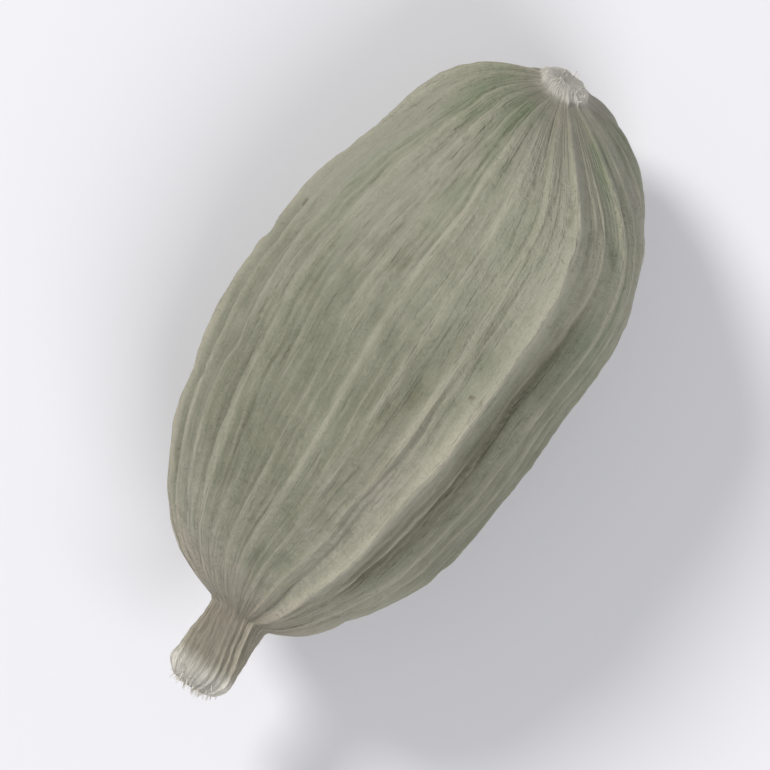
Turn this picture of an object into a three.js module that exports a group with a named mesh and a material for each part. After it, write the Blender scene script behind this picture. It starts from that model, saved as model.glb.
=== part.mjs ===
// A dried green cardamom pod lying on its side: a plump capsule of rounded triangular section,
// with a raised ridge at each corner, finer ribs between the ridges, a short beak at the flower end
// and a small scar where the stalk broke off.
//
// Millimetres, +Z up. The long axis runs along X, the stalk end towards +X and the beak towards -X.
// The pod rests on a small flat spot at z = 0, and the origin lies on that spot.
//
// Every point of the skin has a station, its distance from the stalk end along the axis, and a lane,
// its place around the pod counted in ribs. Whole lanes are the crests of ribs.
import * as THREE from "three";

const { clamp, degToRad, lerp, smoothstep } = THREE.MathUtils;

// Lengths along the axis
const LENGTH = 16.5; // stalk scar to tip of the beak
const SCAR_HEIGHT = 0.32; // how far the stalk scar stands out of the rounded end
const WIDEST_AT = 7.5; // station of the widest section
const SHOULDER_END = 14.42; // station where the body would close without its beak
const KNOB_LENGTH = 1.6; // the beak widens a little over this length
const KNOB_ROUNDING = 0.6; // length of the beak's rounded end
const REST_AT = 7.3; // station of the middle of the flat spot

// Radii
const BODY_RADIUS = 3.78; // at the widest section, before the ribs
const SCAR_RADIUS = 0.6;
const NECK_RADIUS = 0.63; // thinnest part of the beak
const KNOB_FLARE = 0.03; // how much wider the beak's end is than its neck
const STALK_FULLNESS = 3; // 2 is an ellipse, more is a blunter end
const BEAK_FULLNESS = 2.1;
const STALK_SKEW = 0.7; // how much blunter still the stalk end is on its -Y side
const BEAK_SKEW = 0.2; // and the beak end on its +Y side
const MEETING = 2.5; // lower is a softer curve where the body meets the beak and the scar

// Cross-section
const RIDGES = 3;
const RIBS_PER_FACE = 9; // the ridge at one side of the face counts as one of them
const RIBS = RIDGES * RIBS_PER_FACE;
const FIRST_RIDGE_ANGLE = degToRad(-5);
const CORNERING = 0.07; // share of the radius that the corners stand out and the faces fall in
const HEIGHT_TO_WIDTH = 0.95;
const ROUND_UNDER = 0.4; // a section thinner than this is plain round
const PLUMP_OVER = 2.6; // and one thicker than this has its corners in full

// Ridges, and the grooves beside them
const RIDGE_HEIGHT = 0.17;
const RIDGE_HALF_WIDTH = 0.3; // lanes
const GROOVE_DEPTH = 0.07;
const GROOVE_LANE = 1.05; // lanes from the crest of the ridge
const GROOVE_HALF_WIDTH = 0.45;
const FURROW_DEPTH = 0.13; // one long furrow on the -Y side of the upper ridge
const FURROW_LANE = RIBS_PER_FACE + 1.1;
const FURROW_HALF_WIDTH = 0.5;
const FURROW_STARTS = [3, 6.5]; // stations between which it deepens
const FURROW_ENDS = [11.5, 13.5]; // and between which it dies away

// Ribs
const RIB_HEIGHT = 0.1;
const RIB_SHARPNESS = 1.5; // 1 is a plain wave, more is a narrower crest
const RIB_REACH = 3; // lanes from a ridge within which the ribs are strongest
const RIB_UNEVENNESS = 0.35; // from one rib to the next
const RIB_TURN = 2.4; // the angle, in radians, that spreads this unevenness over the ribs
const RIB_FADING = 0.3; // along each rib
const FADING_LENGTH = 7;
const FADING_TURN = 1.7; // radians from one rib to the next
const RIB_WANDER = 0.03; // how far the ribs swing sideways, in radians
const WANDER_LENGTH = 11.4;
const BEAK_GATHER = 0.7; // how much higher the ribs stand where they draw together
const BEAK_GATHERS = [10, 13.6]; // stations between which they draw together
const STALK_GATHER = 0.4;
const STALK_GATHERS = [1, 3.5];
const FULL_RELIEF_RADIUS = 1.8; // ribs and ridges flatten out on a thinner section

// Soft swellings over the seeds
const SWELLING = 0.05;
const SWELLING_LENGTH = 4.3;
const SWELLING_START = 1; // radians
const SWELLING_TWIST = 0.4; // radians for each millimetre of the axis

// Bends of the axis
const STALK_BEND_END = 4.5; // station where the stalk end's bend begins
const STALK_LIFT = 0.8; // the stalk end turns up a little, so its scar shows from above
const STALK_SIDE = 0.85;
const STALK_LEAN = 0.5; // and its sections lean back by this much of their height
const BEAK_LIFT = 0.12;
const BEAK_SIDE = 0.1;
const SHOULDER_SIDE = 0.1; // the shoulder beside the beak is fuller on its +Y side
const SHOULDER_AT = 13.3;
const SHOULDER_REACH = 1.1;
const BELLY_SIDE = 0.16;
const BELLY_REACH = 3;

// Rest
const AXIS_HEIGHT = 3.33; // low enough for the underside to be pressed flat
const FLAT_EDGE = 0.1; // softness of the flat spot's rim

// Mesh
const STEPS_PER_RIB = 4;
const AROUND = RIBS * STEPS_PER_RIB;
const RING_SPANS = [
  { to: SCAR_HEIGHT, rings: 5, ease: 2 },
  { to: 1.6, rings: 5, ease: 1.6 },
  { to: 13.2, rings: 22, ease: 1 },
  { to: 15, rings: 8, ease: 1 },
  { to: LENGTH - KNOB_ROUNDING, rings: 4, ease: 1 },
  { to: LENGTH, rings: 5, ease: 0.5 },
];

const unit = (value) => clamp(value, 0, 1);
const bell = (distance, width) => Math.exp(-((distance / width) ** 2));
const wave = (distance, length, start) => Math.sin((2 * Math.PI * distance) / length + start);

// Radius of the plump body, closing at both of its ends. Its side is 1 towards +Y and -1 towards -Y.
function bodyRadius(station, side) {
  const toStalk = unit((WIDEST_AT - station) / (WIDEST_AT - SCAR_HEIGHT));
  const toBeak = unit((station - WIDEST_AT) / (SHOULDER_END - WIDEST_AT));
  const stalkHalf = 1 - toStalk ** (STALK_FULLNESS - STALK_SKEW * side);
  const beakHalf = 1 - toBeak ** (BEAK_FULLNESS + BEAK_SKEW * side);
  return BODY_RADIUS * Math.sqrt(stalkHalf * beakHalf);
}

// Radius of the thin core that shows at the two ends, as the stalk scar and as the beak.
function coreRadius(station) {
  if (station < WIDEST_AT) {
    const rounding = unit(1 - station / SCAR_HEIGHT);
    return SCAR_RADIUS * Math.sqrt(1 - rounding ** 2);
  }
  const flare = KNOB_FLARE * smoothstep(station, LENGTH - KNOB_LENGTH, LENGTH - KNOB_ROUNDING);
  const rounding = unit((station - LENGTH + KNOB_ROUNDING) / KNOB_ROUNDING);
  return (NECK_RADIUS + flare) * Math.sqrt(1 - rounding ** 2);
}

// The body and the core as one profile, curving from one into the other.
function profileRadius(station, side) {
  return (bodyRadius(station, side) ** MEETING + coreRadius(station) ** MEETING) ** (1 / MEETING);
}

// How far the stalk end's bend has come at a station, 1 at the scar.
function stalkBend(station) {
  return unit(1 - station / STALK_BEND_END) ** 2;
}

// The axis at a station, with its bends.
function axisPoint(station) {
  const atStalk = stalkBend(station);
  const beakBend = smoothstep(station, SHOULDER_END, LENGTH);
  const belly = BELLY_SIDE * bell(station - WIDEST_AT, BELLY_REACH);
  const shoulder = SHOULDER_SIDE * bell(station - SHOULDER_AT, SHOULDER_REACH);
  return new THREE.Vector3(
    REST_AT - station,
    STALK_SIDE * atStalk + belly + shoulder + BEAK_SIDE * beakBend,
    AXIS_HEIGHT + STALK_LIFT * atStalk + BEAK_LIFT * beakBend,
  );
}

// Ridges at the corners of the section, less the grooves beside them and the one long furrow.
function ridgeRelief(lane, ridgeDistance, station) {
  const ridge = RIDGE_HEIGHT * bell(ridgeDistance, RIDGE_HALF_WIDTH);
  const groove = GROOVE_DEPTH * bell(ridgeDistance - GROOVE_LANE, GROOVE_HALF_WIDTH);
  const furrowShare = smoothstep(station, ...FURROW_STARTS) * (1 - smoothstep(station, ...FURROW_ENDS));
  const furrow = FURROW_DEPTH * furrowShare * bell(lane - FURROW_LANE, FURROW_HALF_WIDTH);
  return ridge - groove - furrow;
}

// The finer ribs, uneven as in a shrunken skin, and gathered towards both ends.
function ribRelief(lane, ridgeDistance, station) {
  const rib = Math.round(lane) % RIBS;
  const crest = (0.5 + 0.5 * Math.cos(2 * Math.PI * lane)) ** RIB_SHARPNESS;
  const nearRidge = 0.5 + 0.5 * bell(ridgeDistance, RIB_REACH);
  const fading = RIB_FADING * wave(station, FADING_LENGTH, FADING_TURN * rib);
  const uneven = 1 + RIB_UNEVENNESS * Math.sin(RIB_TURN * rib) + fading;
  const towardsBeak = smoothstep(station, ...BEAK_GATHERS);
  const towardsStalk = 1 - smoothstep(station, ...STALK_GATHERS);
  const gathered = 1 + BEAK_GATHER * towardsBeak + STALK_GATHER * towardsStalk;
  return RIB_HEIGHT * crest * nearRidge * uneven * gathered;
}

// The height z, or 0 for what would lie under the resting surface, with a softened rim between.
function pressedFlat(z) {
  const share = unit(0.5 + (0.5 * z) / FLAT_EDGE);
  return share * z + FLAT_EDGE * share * (1 - share);
}

// A point of the skin.
function skinPoint(lane, station) {
  const straightAngle = (2 * Math.PI * lane) / RIBS;
  const wander = RIB_WANDER * wave(station, WANDER_LENGTH, 2 * straightAngle);
  const angle = FIRST_RIDGE_ANGLE + straightAngle + wander;
  const radius = profileRadius(station, Math.cos(angle));
  const plump = smoothstep(radius, ROUND_UNDER, PLUMP_OVER);

  const corner = CORNERING * plump * Math.cos(RIDGES * straightAngle);
  const lobes = Math.sin(2 * angle + SWELLING_TWIST * station);
  const swelling = SWELLING * plump * lobes * wave(station, SWELLING_LENGTH, SWELLING_START);
  const ridgeDistance = Math.abs(lane - RIBS_PER_FACE * Math.round(lane / RIBS_PER_FACE));
  const relief =
    ridgeRelief(lane, ridgeDistance, station) + ribRelief(lane, ridgeDistance, station);
  const reliefShare = smoothstep(radius, 0, FULL_RELIEF_RADIUS);
  const reach = radius * (1 + corner) + swelling + reliefShare * relief;

  const point = axisPoint(station);
  const rise = HEIGHT_TO_WIDTH * reach * Math.sin(angle);
  point.x -= STALK_LEAN * stalkBend(station) * rise;
  point.y += reach * Math.cos(angle);
  point.z = pressedFlat(point.z + rise);
  return point;
}

// Stations of the rings, closer together at both ends and at the shoulder.
function ringStations() {
  const stations = [];
  let from = 0;
  for (const { to, rings, ease } of RING_SPANS) {
    for (let ring = 1; ring <= rings; ring += 1) {
      stations.push(lerp(from, to, (ring / rings) ** ease));
    }
    from = to;
  }
  return stations.slice(0, -1);
}

// The closed skin: rings of points along the axis, with a fan of triangles at each end.
function podGeometry() {
  const stations = ringStations();
  const points = [axisPoint(0)];
  for (const station of stations) {
    for (let step = 0; step < AROUND; step += 1) {
      points.push(skinPoint(step / STEPS_PER_RIB, station));
    }
  }
  points.push(axisPoint(LENGTH));

  const ringPoint = (ring, step) => 1 + ring * AROUND + (step % AROUND);
  const lastRing = stations.length - 1;
  const tip = points.length - 1;
  const triangles = [];
  for (let step = 0; step < AROUND; step += 1) {
    triangles.push(0, ringPoint(0, step), ringPoint(0, step + 1));
    for (let ring = 0; ring < lastRing; ring += 1) {
      const near = ringPoint(ring, step);
      const nearNext = ringPoint(ring, step + 1);
      const far = ringPoint(ring + 1, step);
      const farNext = ringPoint(ring + 1, step + 1);
      triangles.push(near, far, nearNext, nearNext, far, farNext);
    }
    triangles.push(ringPoint(lastRing, step), tip, ringPoint(lastRing, step + 1));
  }

  const geometry = new THREE.BufferGeometry().setFromPoints(points);
  geometry.setIndex(triangles);
  geometry.computeVertexNormals();
  return geometry;
}

const skin = new THREE.MeshStandardMaterial({ color: 0x96987a, roughness: 0.72, metalness: 0 });

const pod = new THREE.Mesh(podGeometry(), skin);
pod.name = "pod";

const cardamom = new THREE.Group();
cardamom.add(pod);

export default cardamom;
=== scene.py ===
import math
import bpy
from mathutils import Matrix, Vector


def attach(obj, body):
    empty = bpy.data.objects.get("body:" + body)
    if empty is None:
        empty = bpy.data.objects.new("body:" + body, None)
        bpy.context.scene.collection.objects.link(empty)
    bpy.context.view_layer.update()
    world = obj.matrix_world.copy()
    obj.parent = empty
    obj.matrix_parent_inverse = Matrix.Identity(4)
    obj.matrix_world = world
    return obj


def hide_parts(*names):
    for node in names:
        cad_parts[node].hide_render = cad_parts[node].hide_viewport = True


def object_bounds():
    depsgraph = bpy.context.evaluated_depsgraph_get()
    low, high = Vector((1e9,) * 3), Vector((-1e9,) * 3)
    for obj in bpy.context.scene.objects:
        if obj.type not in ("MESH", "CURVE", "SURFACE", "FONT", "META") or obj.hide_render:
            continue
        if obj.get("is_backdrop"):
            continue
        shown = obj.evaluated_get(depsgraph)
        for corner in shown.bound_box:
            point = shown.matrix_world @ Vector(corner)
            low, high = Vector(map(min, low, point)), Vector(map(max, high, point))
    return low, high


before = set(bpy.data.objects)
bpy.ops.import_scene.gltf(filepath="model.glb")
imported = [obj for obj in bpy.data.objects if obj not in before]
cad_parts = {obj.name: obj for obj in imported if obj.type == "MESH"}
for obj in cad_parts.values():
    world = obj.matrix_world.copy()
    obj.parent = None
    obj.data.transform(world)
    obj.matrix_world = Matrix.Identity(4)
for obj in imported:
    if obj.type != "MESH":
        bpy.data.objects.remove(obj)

from types import SimpleNamespace

import bpy
from mathutils import Vector

# A dried green cardamom pod lying on a pale floor, seen from straight above.
#
# Sizes are in millimetres and angles in radians, unless a name says otherwise, and MM turns them into
# metres. Every point of the pod's skin has a station, its distance from the stalk end along the axis,
# and a lane, its place around the pod counted in ribs. Whole lanes are the crests of ribs.
MM = 0.001
CAD_BOX = [list(corner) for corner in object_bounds()]
BEAK_TIP_X = CAD_BOX[0][0] / MM
POD_TOP = CAD_BOX[1][2] / MM
LENGTH = 16.5
RIDGES = 3
RIBS_PER_FACE = 9
RIBS = RIDGES * RIBS_PER_FACE
TURN = 2 * math.pi

# The pod's form is that of its solid, with a finer relief. Widths of ridges and grooves are in lanes.
POD = {
    "around": 480,
    "rings": 204,
    "seed": 4,
    "length": LENGTH,
    "stalk_end_x": BEAK_TIP_X + LENGTH,
    "scar_height": 0.32,
    "widest_at": 7.5,
    "shoulder_end": 14.42,
    "knob_length": 1.6,
    "knob_rounding": 0.6,
    "body_radius": 3.78,
    "scar_radius": 0.6,
    "neck_radius": 0.63,
    "knob_flare": 0.03,
    "stalk_fullness": 3.0,
    "beak_fullness": 2.1,
    "stalk_skew": 0.7,
    "beak_skew": 0.2,
    "meeting": 2.5,
    "first_ridge_angle": math.radians(-5),
    "cornering": 0.07,
    "height_to_width": 0.95,
    "round_under": 0.4,
    "plump_over": 2.6,
    "ridge_height": 0.17,
    "ridge_half_width": 0.3,
    "groove_depth": 0.07,
    "groove_lane": 1.05,
    "groove_half_width": 0.45,
    "furrow_depth": 0.13,
    "furrow_lane": RIBS_PER_FACE + 1.1,
    "furrow_half_width": 0.5,
    "rib_height": 0.1,
    "rib_sharpness": 1.5,
    "rib_reach": 3.0,
    "rib_unevenness": 0.35,
    "rib_fading": 0.3,
    "rib_wander": 0.03,
    "wander_length": 11.4,
    "beak_gather": 0.7,
    "stalk_gather": 0.4,
    "full_relief_radius": 1.8,
    "swelling": 0.05,
    "swelling_length": 4.3,
    "swelling_twist": 0.4,
    "stalk_bend_end": 4.5,
    "stalk_lift": 0.8,
    "stalk_side": 0.85,
    "stalk_lean": 0.5,
    "beak_lift": 0.12,
    "beak_side": 0.1,
    "shoulder_side": 0.1,
    "shoulder_at": 13.3,
    "shoulder_reach": 1.1,
    "belly_side": 0.16,
    "belly_reach": 3.0,
    "axis_height": 3.33,
    "flat_edge": 0.1,
    "meander": 0.03,
    "ridge_line": 0.04,
    "ridge_line_half_width": 0.13,
    "vein_height": 0.11,
    "crinkle_height": 0.13,
    "striation_height": 0.035,
    "cross_height": 0.07,
    "pit_depth": 0.06,
    "crease_depth": 0.09,
    "crease_half_width": 0.16,
    "dent_depth": 0.09,
    "tip_hollow": 0.12,
    "tip_hollow_radius": 0.3,
    "scar_hollow": 0.16,
    "scar_hollow_radius": 0.34,
    "end_roughness": 0.14,
    "raggedness": 0.22,
    "beak_twist": 0.55,
    "beak_flattening": 0.07,
    "beak_shrinking": 0.22,
}

# The torn fibres on both broken ends.
FRAY = {
    "tip_fibres": 110,
    "scar_fibres": 80,
    "fibre_thickness": 0.022,
    "flatness": 0.6,
    "tuft_hole": 0.35,
    "tuft_reach": 0.97,
    "sunk": 0.06,
    "splay": 0.45,
    "astray": 0.5,
    "tip_fibre_length": 0.24,
    "scar_fibre_length": 0.16,
    "curl": 0.35,
}
WHOLE_NUMBERS = ("around", "rings", "tip_fibres", "scar_fibres")

# Stations between which the furrow deepens and dies away, the ribs draw together at both ends, and the
# beak is more and more shrivelled.
FURROW_STARTS = (3.0, 6.5)
FURROW_ENDS = (11.5, 13.5)
BEAK_GATHERS = (10.0, 13.6)
STALK_GATHERS = (1.0, 3.5)
BEAK_SHRIVELS = (13.6, 16.0)


def linear(red, green, blue):
    """A colour as it looks on a screen, 0 to 255, as the linear colour that a shader takes."""
    shares = [channel / 255 for channel in (red, green, blue)]
    return [s / 12.92 if s <= 0.04045 else ((s + 0.055) / 1.055) ** 2.4 for s in shares] + [1.0]


SAGE = linear(124, 125, 105)
PALE_SAGE = linear(154, 153, 135)
OLIVE = linear(101, 100, 76)
DEEP_OLIVE = linear(72, 69, 50)
LEAF_GREEN = linear(98, 118, 80)
STRAW = linear(179, 174, 154)
BUFF = linear(154, 141, 118)
PALE_BUFF = linear(172, 165, 150)
TAN = linear(176, 167, 150)
CREAM = linear(236, 231, 219)
BROWN = linear(82, 67, 48)
FLOOR_WHITE = linear(236, 235, 238)

# Finish: how high the grain stands in the bump, in millimetres, and how much dry plant skin bends light.
HULL_GRAIN_HEIGHT = 0.13
FIBRE_GRAIN_HEIGHT = 0.02
DRY_SKIN_IOR = 1.45


class Value:
    """A number that varies over a piece: sums on it add Math nodes to the tree that it belongs to."""

    def __init__(self, tree, socket):
        self.tree = tree
        self.socket = socket

    def __add__(self, other):
        return self.tree.math("ADD", self, other)

    def __sub__(self, other):
        return self.tree.math("SUBTRACT", self, other)

    def __rsub__(self, other):
        return self.tree.math("SUBTRACT", other, self)

    def __mul__(self, other):
        return self.tree.math("MULTIPLY", self, other)

    def __truediv__(self, other):
        return self.tree.math("DIVIDE", self, other)

    def __rtruediv__(self, other):
        return self.tree.math("DIVIDE", other, self)

    def __pow__(self, exponent):
        return self.tree.math("POWER", self, exponent)

    def __neg__(self):
        return self.tree.math("MULTIPLY", self, -1.0)

    def __abs__(self):
        return self.tree.math("ABSOLUTE", self)

    def __round__(self):
        return self.tree.math("ROUND", self)

    __radd__ = __add__
    __rmul__ = __mul__


class Tree:
    """A node tree in the making, of a form or of a material."""

    def __init__(self, tree):
        self.tree = tree

    def node(self, kind, settings=None, sockets=None):
        """Any node: its settings first, then the values or links of its sockets, by name or number."""
        made = self.tree.nodes.new(kind)
        for name, setting in (settings or {}).items():
            setattr(made, name, setting)
        for key, value in (sockets or {}).items():
            self.feed(made.inputs[key], value)
        return made

    def feed(self, socket, value):
        source = value.socket if isinstance(value, Value) else value
        if isinstance(source, bpy.types.NodeSocket):
            self.tree.links.new(source, socket)
        else:
            socket.default_value = source

    def value(self, kind, output, settings=None, sockets=None):
        return Value(self, self.node(kind, settings, sockets).outputs[output])

    def math(self, operation, *values):
        return self.value("ShaderNodeMath", 0, {"operation": operation}, dict(enumerate(values)))

    def vectors(self, operation, *values):
        settings = {"operation": operation}
        return self.node("ShaderNodeVectorMath", settings, dict(enumerate(values))).outputs[0]

    def smoothstep(self, value, low, high):
        """0 below low, 1 above high, and a smooth rise between."""
        sockets = {"Value": value, "From Min": low, "From Max": high}
        return self.value("ShaderNodeMapRange", 0, {"interpolation_type": "SMOOTHSTEP"}, sockets)

    def unit(self, value):
        return self.value("ShaderNodeClamp", 0, None, {"Value": value})

    def sine(self, value):
        return self.math("SINE", value)

    def cosine(self, value):
        return self.math("COSINE", value)

    def root(self, value):
        return self.math("SQRT", value)

    def bell(self, distance, width):
        share = distance / width
        return self.math("EXPONENT", -(share * share))

    def wave(self, distance, length, start):
        return self.sine(TURN * distance / length + start)

    def point(self, x, y, z):
        return self.node("ShaderNodeCombineXYZ", None, {0: x, 1: y, 2: z}).outputs[0]

    def parts(self, vector):
        split = self.node("ShaderNodeSeparateXYZ", None, {0: vector})
        return [Value(self, part) for part in split.outputs]

    def noise_node(self, place, stretch, seed, detail, roughness):
        scaled = self.vectors("MULTIPLY", place, stretch)
        sockets = {"Vector": scaled, "W": seed, "Scale": 1.0, "Detail": detail, "Roughness": roughness}
        return self.node("ShaderNodeTexNoise", {"noise_dimensions": "4D"}, sockets)

    def noise(self, place, stretch, seed, detail=2.0, roughness=0.5):
        """Noise centred on 0, about -0.5 to 0.5, at place times stretch, which is a scale for each axis."""
        return Value(self, self.noise_node(place, stretch, seed, detail, roughness).outputs[0]) - 0.5

    def bent(self, place, stretch, seed, reach):
        """place moved about by noise, up to about half of reach each way."""
        noise = self.noise_node(place, stretch, seed, 2.0, 0.5).outputs["Color"]
        centred = self.vectors("SUBTRACT", noise, (0.5, 0.5, 0.5))
        return self.vectors("ADD", place, self.vectors("MULTIPLY", centred, (reach, reach, reach)))

    def cells(self, place, stretch, feature, output):
        """A pattern of uneven cells, at place times stretch."""
        sockets = {"Vector": self.vectors("MULTIPLY", place, stretch), "Scale": 1.0, "Randomness": 1.0}
        return self.node("ShaderNodeTexVoronoi", {"feature": feature}, sockets).outputs[output]

    def mix(self, share, first, second):
        """Two colours, the second one taking the share."""
        sockets = {0: share, 6: first, 7: second}
        settings = {"data_type": "RGBA", "clamp_factor": True}
        return self.node("ShaderNodeMix", settings, sockets).outputs[2]


class FormTree(Tree):
    """A geometry tree with a named input for each of its sizes."""

    def __init__(self, name, sizes):
        super().__init__(bpy.data.node_groups.new(name, "GeometryNodeTree"))
        sockets = self.tree.interface
        self.keys = {}
        for key, size in sizes.items():
            kind = "NodeSocketInt" if key in WHOLE_NUMBERS else "NodeSocketFloat"
            socket = sockets.new_socket(key.replace("_", " "), in_out="INPUT", socket_type=kind)
            socket.default_value = size
            self.keys[key] = socket.identifier
        sockets.new_socket("Geometry", in_out="OUTPUT", socket_type="NodeSocketGeometry")
        inputs = self.node("NodeGroupInput").outputs
        self.sizes = {key: Value(self, inputs[name]) for key, name in self.keys.items()}

    def store(self, geometry, name, kind, value):
        """geometry with value kept on its points under that name."""
        sockets = {"Geometry": geometry, "Name": name, "Value": value}
        settings = {"data_type": kind, "domain": "POINT"}
        return self.node("GeometryNodeStoreNamedAttribute", settings, sockets).outputs[0]

    def finish(self, geometry, material):
        real = self.node("GeometryNodeRealizeInstances", None, {0: geometry}).outputs[0]
        smooth = self.node("GeometryNodeSetShadeSmooth", None, {0: real}).outputs[0]
        sockets = {"Geometry": smooth, "Material": material}
        dressed = self.node("GeometryNodeSetMaterial", None, sockets).outputs[0]
        self.node("NodeGroupOutput", None, {0: dressed})


def made_from(form, name, sizes):
    """A plain mesh object from a geometry tree at those sizes."""
    piece = bpy.data.objects.new(name, bpy.data.meshes.new(name))
    bpy.context.scene.collection.objects.link(piece)
    shaping = piece.modifiers.new(name, "NODES")
    shaping.node_group = form.tree
    for key, size in sizes.items():
        shaping[form.keys[key]] = size
    graph = bpy.context.evaluated_depsgraph_get()
    made = bpy.data.meshes.new_from_object(
        piece.evaluated_get(graph), preserve_all_data_layers=True, depsgraph=graph
    )
    made.name = name
    piece.modifiers.clear()
    piece.data = made
    return piece


def body_radius(form, station, side):
    """Radius of the plump body, closing at both ends. Its side is 1 towards +Y and -1 towards -Y."""
    s = form.sizes
    to_stalk = form.unit((s["widest_at"] - station) / (s["widest_at"] - s["scar_height"]))
    to_beak = form.unit((station - s["widest_at"]) / (s["shoulder_end"] - s["widest_at"]))
    stalk_half = 1 - to_stalk ** (s["stalk_fullness"] - s["stalk_skew"] * side)
    beak_half = 1 - to_beak ** (s["beak_fullness"] + s["beak_skew"] * side)
    return s["body_radius"] * form.root(stalk_half * beak_half)


def core_radius(form, station):
    """Radius of the thin core that shows at the two ends, as the stalk scar and as the beak."""
    s = form.sizes
    scar_rounding = form.unit(1 - station / s["scar_height"])
    scar = s["scar_radius"] * form.root(1 - scar_rounding * scar_rounding)
    knob_from = s["length"] - s["knob_length"]
    knob_to = s["length"] - s["knob_rounding"]
    flare = s["knob_flare"] * form.smoothstep(station, knob_from, knob_to)
    knob_rounding = form.unit((station - knob_to) / s["knob_rounding"])
    beak = (s["neck_radius"] + flare) * form.root(1 - knob_rounding * knob_rounding)
    on_beak_half = form.math("GREATER_THAN", station, s["widest_at"])
    return scar + on_beak_half * (beak - scar)


def profile_radius(form, station, side):
    """The body and the core as one profile, curving from one into the other."""
    meeting = form.sizes["meeting"]
    powers = body_radius(form, station, side) ** meeting + core_radius(form, station) ** meeting
    return powers ** (1 / meeting)


def stalk_bend(form, station):
    """How far the stalk end's bend has come at a station, 1 at the scar."""
    share = form.unit(1 - station / form.sizes["stalk_bend_end"])
    return share * share


def axis_point(form, station):
    """x, y and z of the axis at a station, with its bends."""
    s = form.sizes
    at_stalk = stalk_bend(form, station)
    beak_bend = form.smoothstep(station, s["shoulder_end"], s["length"])
    belly = s["belly_side"] * form.bell(station - s["widest_at"], s["belly_reach"])
    shoulder = s["shoulder_side"] * form.bell(station - s["shoulder_at"], s["shoulder_reach"])
    x = s["stalk_end_x"] - station
    y = s["stalk_side"] * at_stalk + belly + shoulder + s["beak_side"] * beak_bend
    z = s["axis_height"] + s["stalk_lift"] * at_stalk + s["beak_lift"] * beak_bend
    return x, y, z


def tip_hollow(form, radius):
    """How far the broken end of the beak is sunk, at a distance from its middle."""
    return form.sizes["tip_hollow"] * form.bell(radius, form.sizes["tip_hollow_radius"])


def scar_hollow(form, radius):
    """How far the stalk scar is sunk, at a distance from its middle."""
    return form.sizes["scar_hollow"] * form.bell(radius, form.sizes["scar_hollow_radius"])


def ridge_relief(form, lane, ridge_distance, station):
    """Ridges at the corners of the section, and the grooves beside them with the one long furrow."""
    s = form.sizes
    ridge = s["ridge_height"] * form.bell(ridge_distance, s["ridge_half_width"])
    groove = s["groove_depth"] * form.bell(ridge_distance - s["groove_lane"], s["groove_half_width"])
    deep = form.smoothstep(station, *FURROW_STARTS) * (1 - form.smoothstep(station, *FURROW_ENDS))
    from_furrow = lane - s["furrow_lane"]
    furrow = s["furrow_depth"] * deep * form.bell(from_furrow, s["furrow_half_width"])
    crease = s["crease_depth"] * deep * form.bell(from_furrow, s["crease_half_width"])
    return ridge, groove + furrow + crease


def rib_relief(form, lane, ridge_distance, station):
    """The ribs, uneven as in a shrunken skin, and gathered towards both ends."""
    s = form.sizes
    rib_turn = 2.4
    fading_turn = 1.7
    fading_length = 7.0
    rib = form.math("WRAP", round(lane), float(RIBS), 0.0)
    crest = (0.5 + 0.5 * form.cosine(TURN * lane)) ** s["rib_sharpness"]
    near_ridge = 0.5 + 0.5 * form.bell(ridge_distance, s["rib_reach"])
    fading = s["rib_fading"] * form.wave(station, fading_length, fading_turn * rib)
    uneven = 1 + s["rib_unevenness"] * form.sine(rib_turn * rib) + fading
    towards_beak = form.smoothstep(station, *BEAK_GATHERS)
    towards_stalk = 1 - form.smoothstep(station, *STALK_GATHERS)
    gathered = 1 + s["beak_gather"] * towards_beak + s["stalk_gather"] * towards_stalk
    return s["rib_height"] * crest * near_ridge * uneven * gathered


def skin_relief(form, grain, place, lane):
    """Fine wrinkles along the pod, and sharp crinkles and pits between them, as in thin dry paper.

    Veins, crinkles and folds are the sharp crests of a noise, where it passes through 0.
    """
    s = form.sizes
    seed = s["seed"]
    along_the_pod = (1.5, 1.5, 0.2)
    crumpled = (1.3, 1.3, 0.7)
    across_the_pod = (0.8, 0.8, 2.3)
    striations_per_rib = 3
    striation_sway = 2.2
    bent = form.bent(grain, (0.9, 0.9, 0.5), seed + 3, 0.5)
    veins = 0.35 - abs(form.noise(bent, along_the_pod, seed + 2, 2.0, 0.5)) * 3
    twisted = form.bent(place, (1.1, 1.1, 1.1), seed + 8, 0.8)
    crinkles = 0.2 - abs(form.noise(twisted, crumpled, seed + 4, 3.0, 0.55)) * 2
    sway = striation_sway * form.noise(grain, (0.7, 0.7, 0.35), seed + 9)
    striation = form.cosine(striations_per_rib * TURN * lane + TURN * sway)
    striated = form.smoothstep(form.noise(grain, (0.8, 0.8, 0.3), seed + 10), -0.2, 0.16)
    folds = 0.2 - abs(form.noise(twisted, across_the_pod, seed + 11, 2.0, 0.5)) * 2.4
    folded = form.smoothstep(form.noise(place, (0.5, 0.5, 0.5), seed + 12), -0.06, 0.2)
    pits = form.smoothstep(form.noise(place, (1.1, 1.1, 0.8), seed + 13, 1.0, 0.5), 0.06, 0.3)
    along = s["vein_height"] * veins + s["striation_height"] * striated * striation
    across = s["crinkle_height"] * crinkles + s["cross_height"] * folded * folds
    return along + across - s["pit_depth"] * pits


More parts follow.
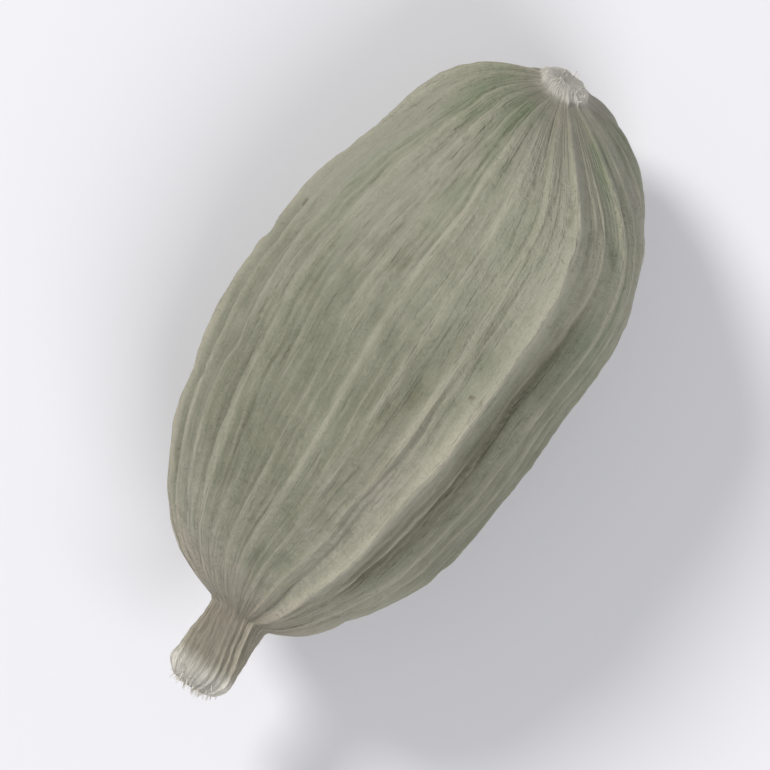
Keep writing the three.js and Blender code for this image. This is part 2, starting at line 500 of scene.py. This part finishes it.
def pod_form(material):
    """The closed skin of the pod: a fine tube that is drawn out to the pod's sections."""
    form = FormTree("cardamom pod", POD)
    s = form.sizes
    tube_sockets = {
        "Vertices": s["around"],
        "Side Segments": s["rings"],
        "Radius": 1.0,
        "Depth": 1.0,
    }
    tube = form.node("GeometryNodeMeshCylinder", {"fill_type": "TRIANGLE_FAN"}, tube_sockets)
    across, along, up = form.parts(form.node("GeometryNodeInputPosition").outputs[0])

    # The tube's height gives the station, closer together at both ends, and its turn gives the lane.
    # Only the middles of the tube's two ends lie inside half of its radius.
    height = form.unit(up + 0.5)
    end_gap = 0.004
    half_radius = 0.5
    eased = 0.5 - 0.5 * form.cosine(math.pi * (end_gap + (1 - 2 * end_gap) * height))
    is_end = form.math("LESS_THAN", across * across + along * along, half_radius ** 2)
    station = s["length"] * (eased + is_end * (round(height) - eased))
    turn = form.math("WRAP", form.math("ARCTAN2", along, across), TURN, 0.0)
    lane = turn * (RIBS / TURN)

    # Grain is a place on the skin as if it were unrolled from an even cylinder, so it follows the ribs.
    even_radius = s["body_radius"]
    grain = form.point(even_radius * form.cosine(turn), even_radius * form.sine(turn), station)
    seed = s["seed"]

    wander = s["rib_wander"] * form.wave(station, s["wander_length"], 2 * turn)
    meander = s["meander"] * form.noise(grain, (0.45, 0.45, 0.4), seed)
    beak_share = form.smoothstep(station, *BEAK_SHRIVELS)
    twist = s["beak_twist"] * beak_share * beak_share
    angle = s["first_ridge_angle"] + turn + wander + meander + twist
    radius = profile_radius(form, station, form.cosine(angle))
    plump = form.smoothstep(radius, s["round_under"], s["plump_over"])
    corner = s["cornering"] * plump * form.cosine(RIDGES * turn)
    lobes = form.sine(2 * angle + s["swelling_twist"] * station)
    swelling = s["swelling"] * plump * lobes * form.wave(station, s["swelling_length"], 1.0)
    place = form.point(radius * form.cosine(turn), radius * form.sine(turn), station)

    ridge_distance = abs(lane - RIBS_PER_FACE * round(lane / RIBS_PER_FACE))
    ridge, hollow = ridge_relief(form, lane, ridge_distance, station)
    ridge_line = s["ridge_line"] * form.bell(ridge_distance, s["ridge_line_half_width"])
    ridge_share = 1 + 1.2 * form.noise(grain, (0.7, 0.7, 0.6), seed + 5)
    rib = rib_relief(form, lane, ridge_distance, station)
    broken = 1 + 1.6 * form.noise(grain, (0.9, 0.9, 0.35), seed + 1)
    fine = skin_relief(form, grain, place, lane)
    dents = s["dent_depth"] * form.noise(place, (0.4, 0.4, 0.32), seed + 6)
    relief = (ridge + ridge_line) * ridge_share - hollow + rib * broken + fine
    relief_share = form.smoothstep(radius, 0.0, s["full_relief_radius"])
    ends = 1 - form.smoothstep(radius, 0.5, 0.9)
    rough_ends = s["end_roughness"] * ends * form.noise(place, (2.6, 2.6, 2.6), seed + 7, 3.0, 0.6)
    reach = radius * (1 + corner) + swelling + plump * dents + relief_share * relief
    reach = reach + rough_ends * form.smoothstep(radius, 0.0, 0.3)
    flattening = s["beak_flattening"] * form.cosine(2 * angle)
    shrinking = s["beak_shrinking"] * form.noise(grain, (0.16, 0.16, 1.1), seed + 15)
    reach = reach * (1 + beak_share * (flattening + shrinking))

    # Both broken ends are a little hollow, with a ragged edge.
    tip_share = form.smoothstep(station, s["length"] - s["knob_rounding"], s["length"])
    scar_share = 1 - form.smoothstep(station, 0.0, s["scar_height"])
    ragged = s["raggedness"] * form.noise(place, (2.8, 2.8, 1.4), seed + 14, 3.0, 0.6)
    tip_sinking = tip_share * (tip_hollow(form, radius) + ragged)
    scar_sinking = scar_share * (scar_hollow(form, radius) + ragged)

    x, y, z = axis_point(form, station)
    rise = s["height_to_width"] * reach * form.sine(angle)
    x = x + tip_sinking - scar_sinking - s["stalk_lean"] * stalk_bend(form, station) * rise
    z = z + rise
    share = form.unit(0.5 + 0.5 * z / s["flat_edge"])
    pressed = share * z + s["flat_edge"] * share * (1 - share)
    placed = form.point(MM * x, MM * (y + reach * form.cosine(angle)), MM * pressed)

    skin = form.store(tube.outputs["Mesh"], "grain", "FLOAT_VECTOR", grain)
    skin = form.store(skin, "ridge", "FLOAT", ridge * ridge_share / s["ridge_height"])
    skin = form.store(skin, "rib", "FLOAT", rib * broken / s["rib_height"])
    skin = form.store(skin, "hollow", "FLOAT", hollow / s["groove_depth"])
    skin = form.store(skin, "fine", "FLOAT", fine / s["crinkle_height"])
    skin = form.store(skin, "thin", "FLOAT", radius / s["body_radius"])
    skin = form.node("GeometryNodeSetPosition", None, {"Geometry": skin, "Position": placed}).outputs[0]
    form.finish(skin, material)
    return form


def scattered(form, low, high, seed):
    """A random number between low and high for each point or piece."""
    sockets = {2: low, 3: high, 8: seed}
    return form.value("FunctionNodeRandomValue", 1, {"data_type": "FLOAT"}, sockets)


def one_fibre(form):
    """A slim flattened fibre, one long, which stands on its root and keeps its height as a share."""
    s = form.sizes
    sockets = {"Vertices": 5, "Side Segments": 5, "Radius": 1.0, "Depth": 1.0}
    fibre = form.node("GeometryNodeMeshCylinder", {"fill_type": "TRIANGLE_FAN"}, sockets)
    across, along, up = form.parts(form.node("GeometryNodeInputPosition").outputs[0])
    share = form.unit(up + 0.5)
    thickness = MM * s["fibre_thickness"] * (1 - 0.6 * share * share)
    placed = form.point(thickness * across, s["flatness"] * thickness * along, share)
    marked = form.store(fibre.outputs["Mesh"], "share", "FLOAT", share)
    sockets = {"Geometry": marked, "Position": placed}
    return form.node("GeometryNodeSetPosition", None, sockets).outputs[0]


def fibre_tuft(form, fibre, count, heading, end_sizes, first_seed):
    """Fibres on a broken end: heading is the way that they point along X."""
    s = form.sizes
    end_station, rounding, radius, hollow, length = end_sizes
    index = form.value("GeometryNodeInputIndex", 0)
    turn = TURN * (index + scattered(form, -0.4, 0.4, first_seed)) / count
    share = scattered(form, s["tuft_hole"], 1.0, first_seed + 1)
    ring = s["tuft_reach"] * radius * share
    sinking = rounding * (1 - form.root(1 - (ring / radius) ** 2)) + hollow(form, ring) + s["sunk"]
    x, y, z = axis_point(form, end_station + heading * sinking)
    rise = s["height_to_width"] * ring * form.sine(turn)
    x = x - s["stalk_lean"] * stalk_bend(form, end_station + heading * sinking) * rise
    place = form.point(MM * x, MM * (y + ring * form.cosine(turn)), MM * (z + rise))
    astray = [scattered(form, -s["astray"], s["astray"], first_seed + 2 + axis) for axis in range(2)]
    splay = s["splay"] * share * share
    aim = form.point(heading, splay * form.cosine(turn) + astray[0], splay * form.sine(turn) + astray[1])
    turned = form.node("FunctionNodeAlignRotationToVector", {"axis": "Z"}, {"Vector": aim}).outputs[0]
    points = form.node("GeometryNodePoints", None, {"Count": count, "Position": place}).outputs[0]
    width = scattered(form, 0.5, 1.5, first_seed + 4)
    long = MM * length * scattered(form, 0.3, 1.0, first_seed + 5)
    scale = form.point(width, 1.0, long)
    sockets = {"Points": points, "Instance": fibre, "Rotation": turned, "Scale": scale}
    return form.node("GeometryNodeInstanceOnPoints", None, sockets).outputs[0]


def curled(form, fibres):
    """The fibres made real and bent, more towards their ends."""
    s = form.sizes
    real = form.node("GeometryNodeRealizeInstances", None, {0: fibres}).outputs[0]
    share = form.value("GeometryNodeInputNamedAttribute", 0, {"data_type": "FLOAT"}, {"Name": "share"})
    place = form.node("GeometryNodeInputPosition").outputs[0]
    in_millimetres = form.vectors("MULTIPLY", place, (1 / MM, 1 / MM, 1 / MM))
    pull = form.noise_node(in_millimetres, (2.5, 2.5, 2.5), s["seed"] + 20, 1.0, 0.5).outputs["Color"]
    centred = form.vectors("SUBTRACT", pull, (0.5, 0.5, 0.5))
    bend = MM * s["curl"] * share * share
    offset = form.vectors("MULTIPLY", centred, form.point(bend, bend, bend))
    return form.node("GeometryNodeSetPosition", None, {"Geometry": real, "Offset": offset}).outputs[0]


def fray_form(material):
    """The torn fibres on the beak's broken end and on the stalk scar."""
    form = FormTree("torn fibres", {**POD, **FRAY})
    s = form.sizes
    fibre = one_fibre(form)
    beak_radius = s["neck_radius"] + s["knob_flare"]
    tip_sizes = s["length"], s["knob_rounding"], beak_radius, tip_hollow, s["tip_fibre_length"]
    scar_sizes = 0.0, s["scar_height"], s["scar_radius"], scar_hollow, s["scar_fibre_length"]
    both = form.node("GeometryNodeJoinGeometry")
    for tuft in (
        fibre_tuft(form, fibre, s["tip_fibres"], -1.0, tip_sizes, 40),
        fibre_tuft(form, fibre, s["scar_fibres"], 1.0, scar_sizes, 50),
    ):
        form.tree.links.new(tuft, both.inputs[0])
    form.finish(curled(form, both.outputs[0]), material)
    return form


def new_material(name):
    """An empty material's tree, to be filled by its function."""
    material = bpy.data.materials.new(name)
    material.use_nodes = True
    material.node_tree.nodes.clear()
    return material, Tree(material.node_tree)


def finish_material(tree, sockets):
    shader = tree.node("ShaderNodeBsdfPrincipled", None, sockets)
    tree.node("ShaderNodeOutputMaterial", None, {"Surface": shader.outputs[0]})


def kept(tree, name):
    """A number that the form kept on its points."""
    return tree.value("ShaderNodeAttribute", "Fac", {"attribute_name": name})


def object_place(tree):
    """Object coordinates in millimetres."""
    place = tree.node("ShaderNodeTexCoord").outputs["Object"]
    return tree.vectors("MULTIPLY", place, (1 / MM, 1 / MM, 1 / MM))


def strands(tree, at, count, width, seed):
    """Thin vascular strands along the skin, count of them to each rib, which wander and come and go."""
    wandering = tree.noise(at.grain, (0.6, 0.6, 0.3), seed, 3.0, 0.6)
    place = count * at.lane + 0.7 * count * wandering
    strand = tree.bell(place - round(place), width)
    presence = tree.noise(at.grain, (0.5 * count, 0.5 * count, 0.3), seed + 0.5, 2.0, 0.5)
    return strand * tree.smoothstep(presence, -0.12, 0.14)


def skin_values(tree):
    """What the skin's colour, gloss and grain are made from: places, the form's marks, and noises."""
    at = SimpleNamespace()
    at.grain = tree.node("ShaderNodeAttribute", {"attribute_name": "grain"}).outputs["Vector"]
    at.place = object_place(tree)
    at.sideways = tree.parts(at.place)[1]
    across, along, at.station = tree.parts(at.grain)
    at.lane = tree.math("ARCTAN2", along, across) * (RIBS / TURN)
    at.ridge = kept(tree, "ridge")
    at.rib = kept(tree, "rib")
    at.hollow = kept(tree, "hollow")
    at.fine = kept(tree, "fine")
    at.patches = tree.noise(at.grain, (0.3, 0.3, 0.22), 11.0, 3.0, 0.55)
    at.mottling = tree.noise(at.place, (1.5, 1.5, 1.5), 12.0, 5.0, 0.65)
    at.grit = tree.noise(at.place, (9.0, 9.0, 9.0), 16.0, 3.0, 0.6)
    at.streaks = tree.noise(at.grain, (4.0, 4.0, 0.4), 13.0, 4.0, 0.65)
    at.fibres = tree.noise(at.grain, (13.0, 13.0, 0.9), 14.0, 3.0, 0.6)
    at.main_strands = strands(tree, at, 1.0, 0.1, 21.0)
    at.side_strands = strands(tree, at, 3.0, 0.15, 23.0)
    return at


def hull_colour(tree, at):
    """Grey sage in patches, paler towards both ends and green near the stalk, and darker olive in its
    crinkles, grooves and furrow, partly the skin's own colour and partly painted shade.

    A buff spot lies beside the upper ridge, towards the beak, and a painted light makes the flank towards
    +Y paler in the stalk half, on the side that the key lamp lights.
    """
    at_stalk = 1 - tree.smoothstep(at.station, 2.0, 7.5)
    at_beak = tree.smoothstep(at.station, 10.5, 15.0)
    # Painted light: the flank towards +Y, which the key lamp lights, is painted paler in the stalk half.
    painted_light_flank = tree.smoothstep(at.sideways, 0.8, 3.6) * (1 - tree.smoothstep(at.station, 5.0, 10.0))
    ends = 0.42 * at_stalk + 0.4 * at_beak + 0.25 * painted_light_flank
    paleness = at.patches + 0.6 * at.mottling + ends
    colour = tree.mix(tree.smoothstep(paleness, -0.1, 0.36), SAGE, PALE_SAGE)
    buff_spot = tree.bell(at.sideways + 1.1, 0.8) * tree.bell(at.station - 10.4, 2.4)
    colour = tree.mix(0.7 * buff_spot * tree.smoothstep(at.mottling, -0.3, 0.1), colour, PALE_BUFF)
    # Olive in random streaks and patches, and painted shade that darkens the low places of the fine
    # crinkles.
    streaks_and_crinkle_shade = tree.smoothstep(0.9 * at.streaks + at.mottling - 0.35 * at.fine, -0.02, 0.45)
    colour = tree.mix(0.7 * streaks_and_crinkle_shade, colour, OLIVE)
    green = tree.noise(at.grain, (0.45, 0.45, 0.4), 15.0, 2.0)
    green_share = (0.12 + 0.5 * at_stalk) * tree.smoothstep(green, -0.04, 0.18)
    colour = tree.mix(green_share, colour, LEAF_GREEN)
    # Darker in the grooves and the furrow, partly the skin's own olive and partly painted shade, deepest in
    # dashes along the furrow.
    colour = tree.mix(0.5 * tree.smoothstep(at.hollow, 0.2, 2.2), colour, OLIVE)
    furrow_shade_dashes = at.hollow + 2 * at.streaks + 2 * at.mottling
    colour = tree.mix(0.4 * tree.smoothstep(furrow_shade_dashes, 1.3, 3.0), colour, DEEP_OLIVE)
    stains = tree.noise(at.place, (0.5, 0.5, 0.5), 24.0, 4.0, 0.6)
    colour = tree.mix(0.3 * tree.smoothstep(stains + 0.3 * at.streaks, 0.13, 0.3), colour, DEEP_OLIVE)
    scuffs = tree.noise(at.place, (0.8, 0.8, 0.8), 17.0, 5.0, 0.65)
    return tree.mix(0.4 * tree.smoothstep(scuffs + 0.5 * at.streaks, 0.1, 0.3), colour, BUFF)


def dried_ribs(tree, at, colour):
    """The straw colour of ribs, strands and ridges, which dry out first, ridges most towards the beak."""
    dry_rib = tree.smoothstep(at.rib + 0.6 * at.fine + 1.5 * at.streaks, 0.3, 1.7)
    colour = tree.mix(0.35 * dry_rib, colour, STRAW)
    colour = tree.mix(0.45 * at.main_strands + 0.3 * at.side_strands, colour, STRAW)
    dry_ridge = tree.smoothstep(at.ridge + 0.8 * at.streaks, 0.35, 1.1)
    ridge_dryness = 0.1 + 0.65 * tree.smoothstep(at.station, 5.5, 9.0)
    return tree.mix(ridge_dryness * dry_ridge, colour, STRAW)


def dried_ends(tree, at, colour):
    """Greyish tan on the beak and round the scar, and cream where both are broken off."""
    beak_dryness = tree.smoothstep(at.station + 2.5 * at.mottling + 2 * at.streaks, 12.8, 14.6)
    colour = tree.mix(0.8 * beak_dryness, colour, TAN)
    beak_paling = tree.smoothstep(at.station + 2 * at.streaks, 14.2, 15.9)
    colour = tree.mix(0.5 * beak_paling, colour, STRAW)
    scar_dryness = 1 - tree.smoothstep(at.station + 0.8 * at.mottling, 0.2, 0.75)
    colour = tree.mix(0.7 * scar_dryness, colour, TAN)
    tip = tree.smoothstep(at.station + 0.8 * at.streaks, LENGTH - 0.95, LENGTH - 0.45)
    colour = tree.mix(0.9 * tip, colour, CREAM)
    scar = 1 - tree.smoothstep(at.station + 0.25 * at.mottling, 0.2, 0.42)
    return tree.mix(0.95 * scar, colour, CREAM)


def flecked(tree, at, colour):
    """Small uneven brown flecks, dark pores and the fine light and dark of the fibres."""
    speck_place = tree.bent(at.place, (4.0, 4.0, 4.0), 18.0, 0.35)
    distance = Value(tree, tree.cells(speck_place, (1.3, 1.3, 1.3), "F1", "Distance"))
    chance = tree.parts(tree.cells(speck_place, (1.3, 1.3, 1.3), "F1", "Color"))[0]
    size = 0.05 + 0.13 * tree.smoothstep(chance, 0.7, 1.0)
    speck = tree.smoothstep(chance, 0.5, 0.6) * (1 - tree.smoothstep(distance, 0.2 * size, size))
    colour = tree.mix(0.6 * speck, colour, BROWN)
    colour = tree.mix(0.45 * tree.smoothstep(at.fibres, 0.06, 0.28), colour, STRAW)
    colour = tree.mix(0.3 * tree.smoothstep(-at.fibres, 0.08, 0.28), colour, BROWN)
    return tree.mix(0.25 * tree.smoothstep(at.grit, 0.05, 0.25), colour, PALE_SAGE)


def skin_material():
    """Dry papery hull, satin on its ridges and matt in its hollows."""
    material, tree = new_material("papery cardamom hull")
    at = skin_values(tree)
    colour = dried_ribs(tree, at, hull_colour(tree, at))
    colour = flecked(tree, at, dried_ends(tree, at, colour))
    crackle = abs(tree.noise(at.place, (3.2, 3.2, 3.2), 19.0, 3.0, 0.6))
    roughness = 0.58 + 0.35 * at.mottling + 0.3 * at.grit - 0.06 * at.ridge
    height = 0.6 * at.fibres + 0.6 * at.streaks + 0.6 * at.mottling + 0.3 * at.grit - 0.8 * crackle
    bump_sockets = {
        "Strength": 1.0,
        "Distance": HULL_GRAIN_HEIGHT * MM,
        "Height": height + 0.3 * at.main_strands + 0.16 * at.side_strands,
    }
    bump = tree.node("ShaderNodeBump", None, bump_sockets).outputs[0]
    sockets = {"Base Color": colour, "Roughness": roughness, "Normal": bump, "IOR": DRY_SKIN_IOR}
    finish_material(tree, sockets)
    return material


def fibre_material():
    """Torn papery fibres: cream, greyer in places."""
    material, tree = new_material("torn dry fibres")
    place = object_place(tree)
    mottling = tree.noise(place, (3.0, 3.0, 3.0), 31.0, 3.0, 0.6)
    colour = tree.mix(tree.smoothstep(mottling, -0.15, 0.25), CREAM, STRAW)
    grit = tree.noise(place, (14.0, 14.0, 14.0), 32.0, 2.0, 0.5)
    bump_sockets = {"Strength": 1.0, "Distance": FIBRE_GRAIN_HEIGHT * MM, "Height": grit}
    bump = tree.node("ShaderNodeBump", None, bump_sockets).outputs[0]
    roughness = 0.7 + 0.3 * grit
    sockets = {"Base Color": colour, "Roughness": roughness, "Normal": bump, "IOR": DRY_SKIN_IOR}
    finish_material(tree, sockets)
    return material


def floor_material():
    material, tree = new_material("pale matt floor")
    finish_material(tree, {"Base Color": FLOOR_WHITE, "Roughness": 0.9})
    return material


def make_pod():
    pod = made_from(pod_form(skin_material()), "pod_skin", POD)
    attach(pod, "root")
    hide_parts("pod")
    return pod


def make_fibres():
    fibres = made_from(fray_form(fibre_material()), "torn_fibres", {**POD, **FRAY})
    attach(fibres, "root")
    return fibres


def make_floor():
    """A square floor, in metres, a hair below the pod's flat spot."""
    half = 1.0
    below = -0.00002
    corners = [(-half, -half, below), (half, -half, below), (half, half, below), (-half, half, below)]
    mesh = bpy.data.meshes.new("floor")
    mesh.from_pydata(corners, [], [(0, 1, 2, 3)])
    mesh.materials.append(floor_material())
    floor = bpy.data.objects.new("floor", mesh)
    bpy.context.scene.collection.objects.link(floor)
    floor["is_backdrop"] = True


# The pod lies on the photograph with its stalk end this far above the horizontal.
TILT_ON_PICTURE = math.radians(55.6)
VIEW_WIDTH = 17.6
CAMERA_HEIGHT = 350.0
SENSOR_WIDTH = 36.0
MIDDLE = Vector((-0.9, 0.3, 0.0))


def on_picture(right, up, height):
    """A place given as distances to the right of and above the pod's middle on the picture, in metres."""
    rightwards = Vector((math.cos(TILT_ON_PICTURE), -math.sin(TILT_ON_PICTURE), 0.0))
    upwards = Vector((math.sin(TILT_ON_PICTURE), math.cos(TILT_ON_PICTURE), 0.0))
    return MM * (MIDDLE + right * rightwards + up * upwards + Vector((0.0, 0.0, height)))


def make_camera():
    data = bpy.data.cameras.new("camera")
    data.sensor_width = SENSOR_WIDTH
    data.lens = SENSOR_WIDTH * (CAMERA_HEIGHT - POD_TOP / 2) / VIEW_WIDTH
    nearest, furthest = 0.01, 10.0
    data.clip_start = nearest
    data.clip_end = furthest
    camera = bpy.data.objects.new("camera", data)
    camera.location = on_picture(0.0, 0.0, CAMERA_HEIGHT)
    camera.rotation_euler = (0.0, 0.0, -TILT_ON_PICTURE)
    bpy.context.scene.collection.objects.link(camera)
    bpy.context.scene.camera = camera


def soft_light(name, right, up, height, width, watts, colour):
    """A round soft light that shines on the pod from a place to the right of and above its middle."""
    data = bpy.data.lights.new(name, "AREA")
    data.shape = "DISK"
    data.size = width * MM
    data.energy = watts
    data.color = colour
    light = bpy.data.objects.new(name, data)
    light.location = on_picture(right, up, height)
    aim = on_picture(0.0, 0.0, POD_TOP / 2) - light.location
    light.rotation_euler = aim.to_track_quat("-Z", "Y").to_euler()
    bpy.context.scene.collection.objects.link(light)


def make_light():
    """A warm key from the upper left of the picture, a cool fill from its lower edge, and a pale room."""
    soft_light("key", -155.0, 180.0, 225.0, 95.0, 0.67, (1.0, 0.99, 0.97))
    soft_light("fill", 90.0, -195.0, 240.0, 220.0, 0.48, (0.97, 0.98, 1.0))
    room_colour = (0.93, 0.94, 1.0, 1.0)
    room_strength = 0.36
    world = bpy.data.worlds.new("pale room")
    world.use_nodes = True
    sky = world.node_tree.nodes["Background"]
    sky.inputs["Color"].default_value = room_colour
    sky.inputs["Strength"].default_value = room_strength
    bpy.context.scene.world = world
    bpy.context.scene.view_settings.view_transform = "Standard"


make_camera()
make_light()
make_floor()
make_pod()
make_fibres()

{"cad": CAD_BOX, "visual": [list(corner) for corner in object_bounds()]}
